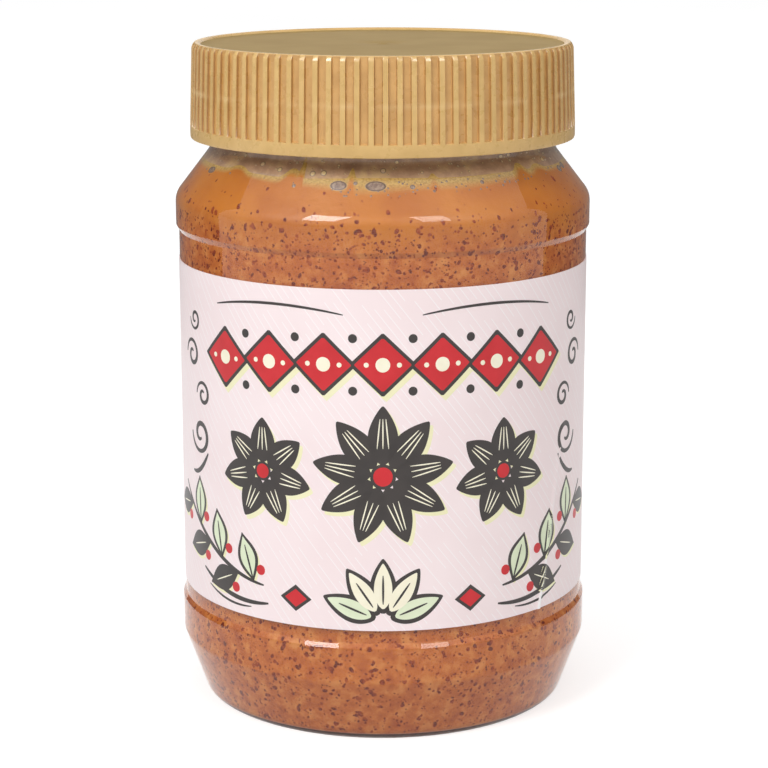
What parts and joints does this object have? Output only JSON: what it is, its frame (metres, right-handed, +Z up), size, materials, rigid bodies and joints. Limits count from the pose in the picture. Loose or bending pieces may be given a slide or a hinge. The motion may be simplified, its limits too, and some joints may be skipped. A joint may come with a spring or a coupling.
{
  "type": "screw-top jar of almond butter",
  "caption": "Round clear plastic jar of nut butter with a ribbed gold-tan screw cap, recessed label panel with a wrapped film label, tapered heel and domed base.",
  "frame": {"origin": "centre of the flat ring that the jar stands on", "axes": "+Z up along the jar's axis; -Y towards the printed front of the label"},
  "size_m": [0.0778, 0.0778, 0.1244],
  "materials": {
    "clear_jar": "clear glossy PET plastic, thin wall",
    "cap": "satin gold-tan moulded polypropylene",
    "label": "satin pale pink printed film",
    "almond_butter": null
  },
  "bodies": {
    "root": {"jar": "clear_jar", "lid": "cap", "label": "label", "almond_butter": "almond_butter"}
  },
  "joints": []
}
